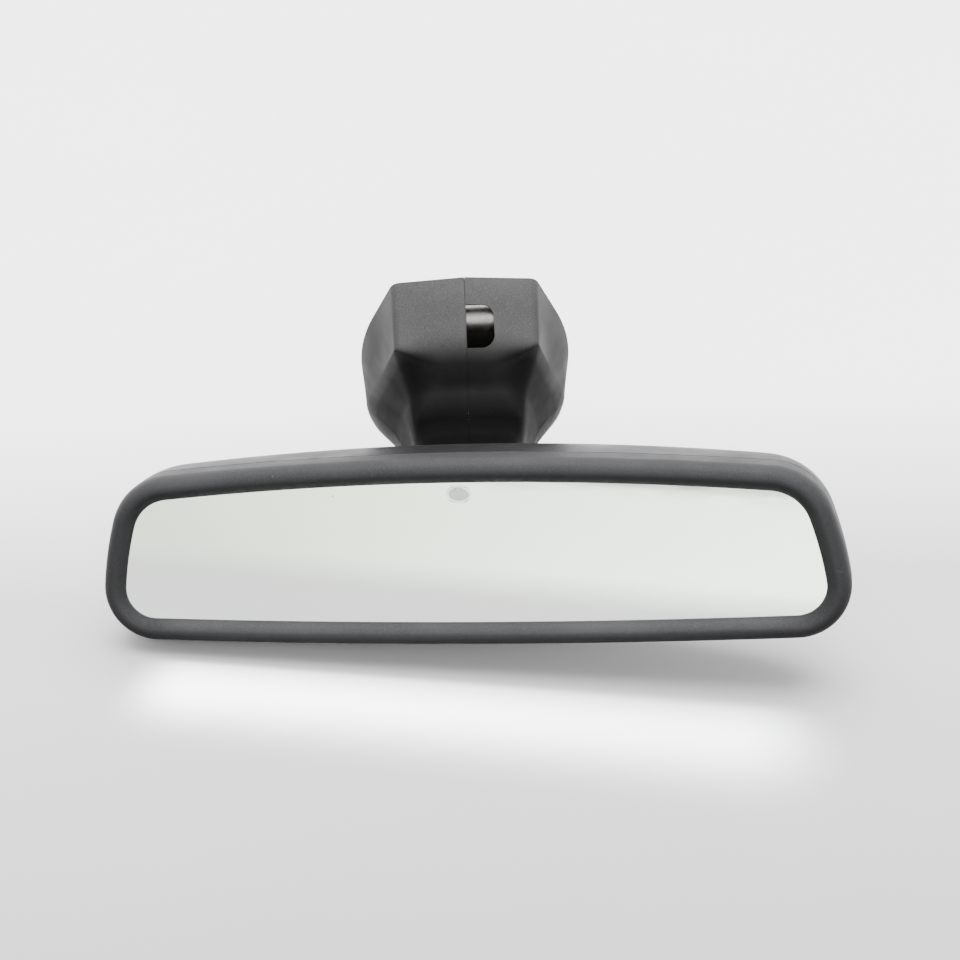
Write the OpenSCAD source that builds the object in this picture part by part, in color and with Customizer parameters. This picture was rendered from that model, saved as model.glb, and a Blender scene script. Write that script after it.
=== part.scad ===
// Interior rearview mirror for a car: a self-dimming glass head on a ball joint,
// carried by a cast foot that clips to a round button bonded to the windscreen.
// The origin is the centre of the foot's face on the windscreen. The glass faces -Y, +Z is up.

/* [Head] */
// Width of the head across the bezel
head_w = 250; // [244:1:256]
// Height of the visible glass
glass_h = 48; // [44:1:52]
// Width of the bezel band around the glass
bezel_w = 8; // [7.6:0.1:8.4]
// Depth from the glass face to the back of the housing
head_depth = 39; // [38:0.5:41]
// Wall of the rear housing
housing_wall = 2.2; // [1.8:0.1:2.6]

/* [Ball joint] */
// Diameter of the ball
ball_d = 17; // [16:0.5:18]
// Distance of the ball's centre behind the glass face
ball_behind = 24; // [23.5:0.5:24.5]
// Height of the ball above the middle of the glass
ball_above = 3; // [1:0.5:4]
// Turn of the head about the vertical axis at rest
head_yaw = -12; // [-18:1:0]
// Tilt of the head at rest, negative when the glass looks upwards
head_pitch = -14; // [-16:1:0]
// Roll of the head at rest
head_roll = -4.5; // [-6:0.5:0]

/* [Foot] */
// Lean of the windscreen plane towards the driver, from the vertical
screen_lean = 26; // [22:1:30]
// Bore of the socket that takes the windscreen button
socket_d = 25.2; // [24:0.1:26]
// Depth of that socket
socket_depth = 5; // [4:0.5:6]
// Length of the cover along the windscreen
cover_l = 105; // [102:1:108]
// Greatest width of the cover
cover_w = 76; // [73:1:80]
// Wall of the cover
cover_wall = 2; // [1.6:0.1:2.4]
// Gap between the two cover halves
seam_gap = 0.4; // [0.2:0.1:0.6]

/* [Hidden] */
$fn = 64;
eps = 0.01;

// ---------- colours ----------
black_plastic = [0.16, 0.16, 0.17];
bezel_black = [0.2, 0.2, 0.21];
glass_green = [0.86, 0.9, 0.86];
zinc = [0.62, 0.61, 0.58];
steel = [0.7, 0.7, 0.72];
nylon = [0.85, 0.83, 0.76];
board_green = [0.1, 0.35, 0.2];
chip_black = [0.08, 0.08, 0.08];
gold = [0.83, 0.68, 0.3];

// ---------- outlines and lofts ----------
function along(angle) = [cos(angle), sin(angle)];
function bearing(from, to) = atan2(to.y - from.y, to.x - from.x);
function span(n) = [for (i = [0:n - 1]) i / n];
function arc(centre, r, a0, a1, n) = [for (t = span(n)) centre + r * along(a0 + (a1 - a0) * t)];

// Crossing of two circles on the right side, above or below the middle
function crossing(c1, r1, c2, r2, above) =
    let (d = norm(c2 - c1), u = (c2 - c1) / d, a = (r1 * r1 - r2 * r2 + d * d) / (2 * d),
         h = sqrt(max(0, r1 * r1 - a * a)), side = h * [-u.y, u.x], p = c1 + a * u + side)
    (p.x > 0 && (p.y > 0) == above) ? p : c1 + a * u - side;

// Edge of the visible glass: four shallow arcs joined by corner arcs
glass_half_w = head_w / 2 - bezel_w;
top_r = 1165;
bottom_r = 3200;
side_r = 116;
side_tilt = 11.4;
widest_z = -4.3;
top_corner_r = 14;
bottom_corner_r = 10;
top_c = [0, glass_h / 2 - top_r];
bottom_c = [0, bottom_r - glass_h / 2];
side_c = [glass_half_w, widest_z] - side_r * along(side_tilt);
upper_c = crossing(top_c, top_r - top_corner_r, side_c, side_r - top_corner_r, true);
lower_c = crossing(bottom_c, bottom_r - bottom_corner_r, side_c, side_r - bottom_corner_r, false);
lower_a = bearing(bottom_c, lower_c);
lower_side_a = bearing(side_c, lower_c);
upper_side_a = bearing(side_c, upper_c);
upper_a = bearing(top_c, upper_c);

function half_outline(grow) = concat(
    arc(bottom_c, bottom_r + grow, -90, lower_a, 7),
    arc(lower_c, bottom_corner_r + grow, lower_a, lower_side_a, 7),
    arc(side_c, side_r + grow, lower_side_a, upper_side_a, 5),
    arc(upper_c, top_corner_r + grow, upper_side_a, upper_a, 8),
    arc(top_c, top_r + grow, upper_a, 90, 7),
    [[0, glass_h / 2 + grow]]);
function outline(grow) =
    let (half = half_outline(grow), last = len(half) - 1)
    concat(half, [for (i = [last - 1:-1:1]) [-half[i].x, half[i].y]]);
function ring(grow, y) = [for (p = outline(grow)) [p.x, y, p.y]];

// Closed solid through a list of rings with the same number of points.
// The caps are fans about their middle point, or none where the last ring meets the first.
function row_faces(i, j, n) = [for (k = [0:n - 1])
    let (m = (k + 1) % n) each [[i * n + k, i * n + m, j * n + m], [i * n + k, j * n + m, j * n + k]]];
function middle(points) = [for (axis = [0:2]) min([for (p = points) p[axis]]) / 2
    + max([for (p = points) p[axis]]) / 2];

module loft(rings) {
    n = len(rings[0]);
    last = len(rings) - 1;
    points = concat([for (r = rings) each r], [middle(rings[0]), middle(rings[last])]);
    first_middle = (last + 1) * n;
    walls = [for (i = [0:last - 1]) each row_faces(i, i + 1, n)];
    first_cap = [for (k = [0:n - 1]) [(k + 1) % n, k, first_middle]];
    last_cap = [for (k = [0:n - 1]) [last * n + k, last * n + (k + 1) % n, first_middle + 1]];
    polyhedron(points, concat(walls, first_cap, last_cap), convexity = 8);
}

module sweep_round(rings) {
    n = len(rings[0]);
    faces = [for (i = [0:len(rings) - 1]) each row_faces(i, (i + 1) % len(rings), n)];
    polyhedron([for (r = rings) each r], faces, convexity = 8);
}

// Flat plate with the outline of the glass, between two depths
module glass_plate(grow, y0, y1) {
    translate([0, y1, 0]) rotate([90, 0, 0]) linear_extrude(y1 - y0) polygon(outline(grow));
}

module rounded_box(size, r) {
    linear_extrude(size.z) offset(r) square([size.x - 2 * r, size.y - 2 * r], center = true);
}

// ---------- frames ----------
// Foot frame: +Z into the windscreen, +Y down along it, away from the driver
module on_foot() {
    rotate([screen_lean - 90, 0, 0]) children();
}
ball_at = [0, -13, -85.3];
stud_tilt = -27;
// Stud frame: the ball's centre, +Z along the stud towards the foot
module on_stud() {
    on_foot() translate(ball_at) rotate([stud_tilt, 0, 0]) children();
}
ball_row_y = ball_at.y * sin(screen_lean) + ball_at.z * cos(screen_lean);
ball_row_z = -ball_at.y * cos(screen_lean) + ball_at.z * sin(screen_lean);
module at_ball() {
    translate([0, ball_row_y, ball_row_z]) children();
}
// Frames of the three stages of the ball joint, centred on the ball
module yaw_stage() {
    at_ball() rotate([0, 0, head_yaw]) children();
}
module pitch_stage() {
    yaw_stage() rotate([head_pitch, 0, 0]) children();
}
module roll_stage() {
    pitch_stage() rotate([0, head_roll, 0]) children();
}
// Head frame: the middle of the glass face, +Y to the rear
ball_in_head = [0, ball_behind, ball_above];
module in_head() {
    roll_stage() translate(-ball_in_head) children();
}
// Turns a shape drawn about +Z so that its +Z points to the rear of the head
module to_rear() {
    rotate([-90, 0, 0]) children();
}

// ---------- foot ----------
foot_r = 19;
foot_h = 12;
neck_r = 11;
stem_r = 4.75;
shank_r = 4;
boss_r = 6.4;
boss_start = 27;
web_start = 45;
web_y = 8;
web_r = 10;
shank_end = 45;
screw_at = 33;
set_screw_r = 2.5;
hex_r = 1.25;

module mount_foot() {
    color(zinc) difference() {
        union() {
            on_foot() translate([0, 0, -foot_h]) cylinder(h = foot_h, r = foot_r);
            hull() {
                on_foot() translate([0, web_y, -foot_h - 2]) cylinder(h = 4, r = web_r, $fn = 32);
                on_stud() translate([0, 0, web_start]) cylinder(h = 7, r = boss_r + 0.2, $fn = 32);
            }
            on_stud() translate([0, 0, boss_start]) cylinder(h = web_start + 1 - boss_start, r = boss_r);
        }
        on_foot() translate([0, 0, -socket_depth]) cylinder(h = socket_depth + 1, d = socket_d);
        on_stud() translate([0, 0, boss_start - 1]) cylinder(h = shank_end - boss_start + 1.1, r = shank_r);
        on_stud() translate([0, 0, screw_at]) rotate([-90, 0, 0]) cylinder(h = boss_r + 2, r = set_screw_r);
        on_foot() rivet_holes();
    }
}

spring_t = 0.8;
spring_w = 22;
barrel_r = 5.8;
barrel_y = -30;
rivet_y = -14.6;
rivet_r = 1.25;
rivet_head_r = 2.2;
module at_rivets() {
    for (x = [-7, 7]) translate([x, rivet_y, -foot_h - spring_t]) children();
}
module rivet_holes() {
    at_rivets() translate([0, 0, -1]) cylinder(h = spring_t + 5, r = rivet_r);
}

// Leaf spring with a rolled end that grips the windscreen button
module retaining_spring() {
    barrel_z = barrel_r - foot_h - spring_t;
    color(steel) on_foot() difference() {
        union() {
            translate([-spring_w / 2, barrel_y, -foot_h - spring_t]) cube([spring_w, -barrel_y, spring_t]);
            translate([-spring_w / 2, barrel_y, barrel_z]) rotate([0, 90, 0])
                cylinder(h = spring_w, r = barrel_r);
        }
        translate([-spring_w / 2 - 1, barrel_y, barrel_z]) rotate([0, 90, 0])
            cylinder(h = spring_w + 2, r = barrel_r - spring_t);
        translate([0, 0, -foot_h - 5]) cylinder(h = 10, r = neck_r + 0.4);
        rivet_holes();
    }
}

module spring_rivets() {
    color(steel) on_foot() at_rivets() {
        translate([0, 0, -1]) cylinder(h = 1, r = rivet_head_r);
        cylinder(h = spring_t + 4, r = rivet_r);
    }
}

module ball_stud() {
    color(steel) on_stud() {
        sphere(d = ball_d, $fn = 96);
        cylinder(h = boss_start, r = stem_r);
        cylinder(h = shank_end, r = shank_r);
    }
}

module stud_screw() {
    color(steel) on_stud() translate([0, 0, screw_at]) rotate([-90, 0, 0]) difference() {
        translate([0, 0, shank_r]) cylinder(h = boss_r - shank_r + 0.2, r = set_screw_r);
        translate([0, 0, boss_r - 1]) cylinder(h = 3, r = hex_r, $fn = 6);
    }
}

// ---------- cover ----------
// The right half of the cover is a shell through half rings. A half ring runs from the upper
// seam over five corners to the lower seam. The rows of the shell run from the rim on the
// windscreen over the ridge to the root of the neck and on to its mouth.
rim_top = -42.5;
rim_end = rim_top + cover_l;
seam_x = seam_gap / 2;
end_r = cover_w / 2;
end_lap = end_r * tan(22.5);
facet_w = 25.5;
neck_root = 52;
neck_mouth = 34;
top_steps = 5;
seam_crown = 2;
chin_drop = [0, 1.8, -3.5];
chin_undercut = [0, 1.5, 3];
flank_undercut = [-2.5, 0, 3];
rim_reach = [2.5, 15, 7, end_lap * 0.98, end_lap * 0.98];
ridge_reach = [2.5, 9, 7, end_lap * 0.95, end_lap * 0.95];
waist_reach = [9, 6, 7, 9, 9];
neck_reach = [1.5, 1.5, 1, 1.2, 3];

function rim_corners(inset) = [
    [facet_w - inset, rim_top + inset, 0], [end_r + 1.2 - inset, -11, 0], [end_r - inset, 20, 0],
    [end_r - inset, rim_end - end_r + end_lap, 0], [end_lap, rim_end - inset, 0]];
function ridge_corners(inset) = let (z = 0.8 * inset) [
    [facet_w - inset, inset - 31.5, z - 21.2], [31.3 - inset, -6, z - 12.5], [end_r - 0.7 - inset, 20, z - 2],
    [end_r - 0.8 - inset, rim_end - end_r + end_lap - 0.6, z - 2], [end_lap, rim_end - 1 - inset, z - 2]];
function stud_point(x, across, k) = [
    x, ball_at.y + across * cos(stud_tilt) - k * sin(stud_tilt),
    ball_at.z + across * sin(stud_tilt) + k * cos(stud_tilt)];
function neck_corners(w, d, k) = [
    stud_point(w - 2.5, -d, k), stud_point(w, 3 - d, k), stud_point(w, 0, k), stud_point(w, d - 5, k),
    stud_point(w - 6, d, k)];

// Replaces corner b of the path a-b-c by a curve that starts and ends at reach from it
function bend(a, b, c, reach, n) =
    let (p = b + reach * (a - b) / norm(a - b), q = b + reach * (c - b) / norm(c - b))
    [for (i = [0:n]) let (t = i / n) (1 - t) * (1 - t) * p + 2 * t * (1 - t) * b + t * t * q];
function half_ring(corners, reach) =
    let (start = [seam_x, corners[0].y - seam_crown, corners[0].z], end = [seam_x, corners[4].y, corners[4].z],
         path = concat([start], corners, [end]),
         curves = [for (i = [1:5]) each bend(path[i - 1], path[i], path[i + 1], reach[i - 1], 4)])
    concat([for (t = span(top_steps)) start + t * (curves[0] - start)], curves, [end]);

// Share of the soft chin below the front facet, which hardens towards its corners
function softness(p) = p.y < -25 ? 1 - pow(min(1, p.x / facet_w), 3) : 0;
// Share of the hollow under the side ridge, which fades towards the middle and the lower end
function flank(p) = max(0, min(1, (p.x - 12) / 13)) * max(0, min(1, (45 - p.y) / 35));
function undercut(p) = chin_undercut * softness(p) + flank_undercut * flank(p);
function cover_column(rim, ridge, waist, root, mouth) = concat([rim],
    bend(rim, ridge, waist, 0.7 + 8.7 * softness(ridge), 4), [waist], bend(waist, root, mouth, 9, 5), [mouth]);
function cover_rows(inset) =
    let (rim = half_ring(rim_corners(inset), rim_reach),
         sharp = half_ring(ridge_corners(inset), ridge_reach),
         ridge = [for (p = sharp) p + chin_drop * softness(p)],
         root_corners = neck_corners(19.9 - inset, 9.4 - inset, neck_root),
         middle = half_ring((ridge_corners(inset) + root_corners) / 2, waist_reach),
         waist = [for (k = [0:len(middle) - 1]) middle[k] + undercut(ridge[k])],
         root = half_ring(root_corners, neck_reach),
         mouth = half_ring(neck_corners(18.5 - inset, 9 - inset, neck_mouth), neck_reach),
         columns = [for (k = [0:len(rim) - 1]) cover_column(rim[k], ridge[k], waist[k], root[k], mouth[k])])
    [for (row = [0:len(columns[0]) - 1]) [for (c = columns) c[row]]];

// Half shell between an outer and an inner set of rows, with flat ends and a flat seam
module half_shell(outer, inner) {
    n = len(outer[0]);
    rows = len(outer);
    inside = [for (r = inner) [for (k = [n - 1:-1:0]) r[k]]];
    walls = [for (i = [0:rows - 2]) each row_faces(i, i + 1, 2 * n)];
    rim = [for (k = [0:n - 2]) let (m = 2 * n - 1 - k) each [[k + 1, k, m], [k + 1, m, m - 1]]];
    mouth = [for (f = rim) [f[2], f[1], f[0]] + 2 * n * (rows - 1) * [1, 1, 1]];
    points = [for (i = [0:rows - 1]) each concat(outer[i], inside[i])];
    polyhedron(points, concat(walls, rim, mouth), convexity = 8);
}

// Opening beside the seam, cut square to the front facet of the right half
slot_from = 9;
slot_l = 15.5;
slot_w = 10;
slot_r = 4.6;
facet_tilt = -60;
module cover_slot() {
    translate([0, rim_top, 0]) rotate([facet_tilt, 0, 0]) translate([0, slot_from + slot_l / 2, -6])
        linear_extrude(12) offset(slot_r) square([2 * (slot_w - slot_r), slot_l - 2 * slot_r], center = true);
}

// Half of the cover with the rib that bears on the rim of the foot
rib_end = 33.6;
module cover_half() {
    half_shell(cover_rows(0), cover_rows(cover_wall));
    translate([foot_r, -1, -8]) cube([rib_end - foot_r, 2, 5]);
}
module cover_left() {
    color(black_plastic) on_foot() mirror([1, 0, 0]) cover_half();
}
module cover_right() {
    color(black_plastic) on_foot() difference() {
        cover_half();
        cover_slot();
    }
}

// ---------- ball joint ----------
ball_r = ball_d / 2;
liner_in = ball_r + 0.05;
liner_out = ball_r + 1.5;
cup_in = liner_out + 0.05;
cup_r = cup_in + 2.45;
cup_front = -8.5;
cup_back = 4;
bracket_bore = cup_r + 0.05;
bracket_r = bracket_bore + 2.2;

// Thin nylon shell between the ball and the cup
module ball_liner() {
    mouth = 25;
    color(nylon) yaw_stage() to_rear() rotate_extrude($fn = 72) polygon(concat(
        [for (i = [0:12]) let (a = -90 + (90 + mouth) * i / 12) liner_out * along(a)],
        [for (i = [12:-1:0]) let (a = -90 + (90 + mouth) * i / 12) liner_in * along(a)]));
}

module socket_cup() {
    back_a = asin(cup_back / cup_in);
    front_a = asin(cup_front / cup_in);
    color(nylon) pitch_stage() to_rear() rotate_extrude($fn = 72) polygon(concat(
        [[cup_r, cup_front], [cup_r, cup_back]],
        [for (i = [10:-1:0]) let (a = front_a + (back_a - front_a) * i / 10) cup_in * along(a)]));
}

plate_t = 2;
bracket_floor = cup_front - 1.6;
plate_w = 44;
plate_h = 30;
plate_hole_x = 17;
plate_hole_z = 10;
screw_hole_r = 1.6;
relief_r = 6;
module four_corners() {
    for (x = [-plate_hole_x, plate_hole_x], z = [-plate_hole_z, plate_hole_z]) translate([x, z, 0]) children();
}
module socket_bracket() {
    ring_top = cup_back + 1.2;
    color(steel) roll_stage() to_rear() difference() {
        union() {
            translate([0, 0, bracket_floor - plate_t]) rounded_box([plate_w, plate_h, plate_t], 4);
            translate([0, 0, bracket_floor - plate_t])
                cylinder(h = ring_top - bracket_floor + plate_t, r = bracket_r);
        }
        translate([0, 0, bracket_floor]) cylinder(h = 40, r = bracket_bore);
        translate([0, 0, bracket_floor - 5]) cylinder(h = 10, r = relief_r);
        translate([0, 0, bracket_floor - 5]) four_corners() cylinder(h = 10, r = screw_hole_r);
    }
}

preload_h = 1.5;
preload_hole_r = 7.5;
module preload_spring() {
    color(steel) roll_stage() to_rear() translate([0, 0, bracket_floor]) difference() {
        cylinder(h = preload_h, r = cup_r - 0.4);
        translate([0, 0, -1]) cylinder(h = 4, r = preload_hole_r);
    }
}

module retainer_ring() {
    color(steel) roll_stage() to_rear() translate([0, 0, cup_back + 0.1]) difference() {
        cylinder(h = 1, r = bracket_bore - 0.05);
        translate([0, 0, -1]) cylinder(h = 4, r = cup_r - 1.9);
    }
}

screw_head_h = 1.8;
screw_head_r = 2.6;
screw_r = 1.5;
module bracket_screws() {
    color(steel) roll_stage() to_rear() translate([0, 0, bracket_floor]) four_corners() difference() {
        union() {
            cylinder(h = screw_head_h, r = screw_head_r);
            translate([0, 0, -6]) cylinder(h = 6, r = screw_r);
        }
        translate([0, 0, screw_head_h - 1]) cylinder(h = 2, r = 1.2, $fn = 6);
    }
}

// ---------- head shells ----------
parting_y = 9;
bezel_out = bezel_w;
bezel_in = bezel_w - 1.8;
glass_lap = 2.2;
// Section of the bezel as [distance outside the glass edge, depth]
bezel_section = [
    [0, -0.4], [0.5, -1.3], [1.7, -2.5], [3.2, -3.2], [4.7, -3.1], [6.1, -2.3], [7.2, -0.9],
    [bezel_out - 0.15, 1], [bezel_out, 3], [bezel_out, parting_y], [bezel_in, parting_y], [bezel_in, 3.5],
    [bezel_in - 0.8, 1.6], [glass_lap + 0.15, 1.6], [glass_lap + 0.15, 0], [0, 0]];
module front_bezel() {
    color(bezel_black) in_head() sweep_round([for (s = bezel_section) ring(s.x, s.y)]);
}

// Rings of the rear housing, drawn in towards its middle and bowed from end to end
housing_bow = 0.3;
half_w = head_w / 2;
half_h = glass_h / 2 + bezel_w;
housing_section = [[0, 0], [0.1, 0.25], [0.4, 0.45], [1.1, 0.6], [2.6, 0.73], [5.2, 0.84], [9.2, 0.92],
                   [15, 0.975], [25, 1]];
end_taper = 4;
function housing_ring(inset, share, depth) = [for (p = outline(bezel_w))
    let (x = p.x * (1 - end_taper * inset / half_w), z = p.y * (1 - inset / half_h))
    [x, parting_y + (depth - parting_y) * share * (1 - housing_bow * pow(x / half_w, 2)), z]];
module housing_solid(wall) {
    loft([for (s = housing_section)
        housing_ring(s.x * (1 - wall / 30) + wall, s.y, head_depth - wall)]);
}

dish_hole_r = 13.6;
dish_flare = 7.5;
dish_h = 12;
dish_floor = 7.4;
lens_at = [-52, 6];
lens_r = 5;
port_at = [52, 0];
port_w = 28;
port_h = 13;
vent_x = [-88, -84, -80, -76, 76, 80, 84, 88];
vent_w = 1.6;
vent_h = 16;

module rear_housing() {
    color(black_plastic) in_head() {
        difference() {
            union() {
                difference() {
                    housing_solid(0);
                    translate([0, -eps, 0]) housing_solid(housing_wall);
                    translate(ball_in_head) to_rear() translate([0, 0, dish_floor])
                        cylinder(h = dish_h, r1 = dish_hole_r, r2 = dish_hole_r + dish_flare);
                }
                intersection() {
                    housing_solid(0);
                    translate(ball_in_head) to_rear() dish_wall();
                }
                intersection() {
                    housing_solid(0);
                    translate([lens_at.x, parting_y + 8, lens_at.y]) to_rear()
                        cylinder(h = 30, r = lens_r + 1.6);
                }
                housing_lip();
            }
            translate([lens_at.x, parting_y, lens_at.y]) to_rear() cylinder(h = 40, r = lens_r);
            port_block(port_w, port_h, parting_y, head_depth + 5);
            for (x = vent_x) translate([x - vent_w / 2, 20, -vent_h / 2]) cube([vent_w, 30, vent_h]);
        }
    }
}

module dish_wall() {
    wall_h = dish_h + 1.8;
    difference() {
        translate([0, 0, dish_floor - 1.8])
            cylinder(h = wall_h, r1 = dish_hole_r + 0.6, r2 = dish_hole_r + dish_flare + 2);
        translate([0, 0, dish_floor]) cylinder(h = dish_h, r1 = dish_hole_r, r2 = dish_hole_r + dish_flare);
        translate([0, 0, dish_floor - 5]) cylinder(h = 5 + eps, r = dish_hole_r);
    }
}

// Box through the back of the head for the plug, between two depths
module port_block(w, h, y0, y1) {
    translate([port_at.x - w / 2, y0, port_at.y - h / 2]) cube([w, y1 - y0, h]);
}

// Lip of the housing that seats inside the bezel
module housing_lip() {
    back_y = parting_y + 1.5;
    sweep_round([ring(bezel_in - 1.5, 6), ring(bezel_in - 0.1, 6), ring(bezel_in - 0.1, back_y),
                 ring(bezel_in - 1.5, back_y)]);
}

// ---------- glass cell ----------
pane_t = 1.6;
gap_t = 0.2;
rear_pane_y = pane_t + gap_t;
foam_y = rear_pane_y + pane_t;
foam_t = 1;
carrier_y = foam_y + foam_t;
carrier_t = 2;
window_at = [-0.3, glass_h / 2 - 4];
window_r = 2.8;
window_half = 1.2;

module at_window(y) {
    translate([window_at.x, y, window_at.y]) to_rear() children();
}
module mirror_glass() {
    color(glass_green) in_head() difference() {
        glass_plate(glass_lap, 0, pane_t);
        at_window(-1) oblong(4, window_r + 0.05);
    }
}
module sensor_window() {
    color([0.75, 0.77, 0.75]) in_head() at_window(0) oblong(pane_t, window_r);
}
module oblong(h, r) {
    for (x = [-window_half, window_half]) translate([x, 0, 0]) cylinder(h = h, r = r);
    translate([-window_half, -r, 0]) cube([2 * window_half, 2 * r, h]);
}
module cell_seal() {
    color(chip_black) in_head() difference() {
        glass_plate(glass_lap - 0.6, pane_t, rear_pane_y);
        glass_plate(glass_lap - 2.4, pane_t - 1, rear_pane_y + 1);
    }
}
module rear_pane() {
    color(glass_green) in_head() difference() {
        glass_plate(glass_lap - 0.4, rear_pane_y, foam_y);
        at_window(rear_pane_y - 1) cylinder(h = 4, r = 2.6);
    }
}
clip_l = 30;
module bus_clips() {
    color(gold) in_head() for (z = [-1, 1]) {
        edge = z > 0 ? glass_h / 2 - 0.5 : -glass_h / 2 + 0.5;
        for (x = [-40, 40]) translate([x - clip_l / 2, foam_y, edge - 2]) cube([clip_l, 0.3, 3.2]);
    }
}
module foam_pad() {
    color([0.3, 0.3, 0.3]) in_head() difference() {
        glass_plate(-3.5, foam_y, carrier_y);
        at_window(foam_y - 1) cylinder(h = 4, r = 4.5);
    }
}

// ---------- carrier, board and sensors ----------
board_y = 12;
board_t = 1.6;
board_x0 = -100;
board_x1 = -24;
board_h = 30;
boss_holes = [[-95, 10], [-95, -10], [-31, -11]];
bracket_plate_y = ball_behind + bracket_floor - plate_t;

module carrier_plate() {
    color(black_plastic) in_head() difference() {
        union() {
            glass_plate(bezel_in - 1.7, carrier_y, carrier_y + carrier_t);
            for (p = boss_holes) translate([p.x, carrier_y, p.y]) to_rear()
                cylinder(h = board_y - carrier_y, r = 3);
            translate([0, carrier_y, ball_above]) to_rear() four_corners()
                cylinder(h = bracket_plate_y - carrier_y, r = 3.4);
        }
        for (p = boss_holes) translate([p.x, carrier_y + 1.2, p.y]) to_rear() cylinder(h = 12, r = 1);
        translate([0, carrier_y + 1.2, ball_above]) to_rear() four_corners() cylinder(h = 12, r = screw_r);
        at_window(carrier_y - 1) cylinder(h = 6, r = 4.5);
        for (x = [-70, 62, 88]) translate([x - 8, carrier_y - 1, -9]) cube([16, 6, 18]);
    }
}

tab_w = 30;
tab_z = 18.4;
tab_h = 5;
module circuit_board() {
    color(board_green) in_head() difference() {
        union() {
            translate([board_x0, board_y, -board_h / 2]) cube([board_x1 - board_x0, board_t, board_h]);
            translate([board_x1 - 1, board_y, tab_z]) cube([tab_w, board_t, tab_h]);
            translate([board_x1 - 5, board_y, 12]) cube([5, board_t, tab_z + tab_h - 12]);
            translate([25, board_y, -board_h / 2]) cube([54, board_t, board_h]);
            translate([board_x1 - 1, board_y, -20]) cube([50, board_t, 5.5]);
        }
        for (p = boss_holes) translate([p.x, board_y - 1, p.y]) to_rear() cylinder(h = 5, r = 1.6);
    }
}
module board_chips() {
    top_y = board_y + board_t;
    color(chip_black) in_head() {
        translate([-84, top_y, -6]) cube([12, 1.6, 12]);
        translate([-66, top_y, -9]) cube([6, 1.4, 8]);
        translate([-44, top_y, -12]) cube([8, 1.8, 5]);
        translate([-84, top_y, 8.5]) cube([4, 1, 2]);
        translate([-76, top_y, 8.5]) cube([4, 1, 2]);
        translate([68, top_y, 8]) cube([6, 1.5, 4]);
        for (x = [-56, -50]) translate([x, top_y, -10]) to_rear() cylinder(h = 5, r = 2.5);
    }
}
module board_screws() {
    color(steel) in_head() for (p = boss_holes) translate([p.x, board_y, p.y]) to_rear() difference() {
        union() {
            translate([0, 0, board_t]) cylinder(h = 1.5, r = 2.4);
            translate([0, 0, -4]) cylinder(h = board_t + 4, r = 1);
        }
        translate([0, 0, board_t + 0.6]) cylinder(h = 2, r = 1, $fn = 6);
    }
}

// Light pipe from the window to the photodiode on the front of the board
module glare_sensor() {
    color([0.9, 0.9, 0.9]) in_head() at_window(rear_pane_y) {
        cylinder(h = board_y - rear_pane_y - 2, r = 2.4);
        translate([-3, -2.5, board_y - rear_pane_y - 2]) cube([6, 4, 2]);
    }
}
module ambient_sensor() {
    color(chip_black) in_head() translate([lens_at.x, board_y + board_t, lens_at.y]) to_rear() {
        cylinder(h = 9, r = 2.5);
        translate([-4, -4, 0]) cube([8, 8, 2]);
    }
}
module ambient_lens() {
    bow = housing_bow * pow(lens_at.x / half_w, 2);
    face = parting_y + (head_depth - parting_y) * 0.97 * (1 - bow);
    color([0.25, 0.25, 0.28]) in_head() translate([lens_at.x, face - 4, lens_at.y]) to_rear() {
        cylinder(h = 3, r = lens_r - 0.1);
        translate([0, 0, 3]) cylinder(h = 0.8, r1 = lens_r - 0.1, r2 = lens_r - 1.2);
    }
}

// Ten-way header that takes the car's plug from the rear
header_wall = 1.4;
header_end = 31;
module connector_header() {
    y0 = board_y + board_t;
    color(chip_black) in_head() difference() {
        port_block(port_w - 0.4, port_h - 0.4, y0, header_end);
        port_block(port_w - 0.4 - 2 * header_wall, port_h - 0.4 - 2 * header_wall, y0 + 3, header_end + 2);
        for (x = [-2:2], z = [-1, 1])
            translate([port_at.x + 4 * x, y0 - 1, port_at.y + 1.6 * z]) to_rear()
                cylinder(h = 6, r = 0.45, $fn = 16);
    }
}
module connector_pins() {
    color(gold) in_head() for (x = [-2:2], z = [-1, 1])
        translate([port_at.x + 4 * x, board_y + board_t, port_at.y + 1.6 * z]) to_rear()
            cylinder(h = 9, r = 0.4, $fn = 16);
}

mount_foot();
retaining_spring();
spring_rivets();
ball_stud();
stud_screw();
cover_left();
cover_right();
ball_liner();
socket_cup();
socket_bracket();
preload_spring();
retainer_ring();
bracket_screws();
rear_housing();
front_bezel();
mirror_glass();
sensor_window();
cell_seal();
rear_pane();
bus_clips();
foam_pad();
carrier_plate();
circuit_board();
board_chips();
board_screws();
glare_sensor();
ambient_sensor();
ambient_lens();
connector_header();
connector_pins();
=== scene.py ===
import math
import bpy
import bmesh
import numpy as np
from mathutils import Matrix, Vector


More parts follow.
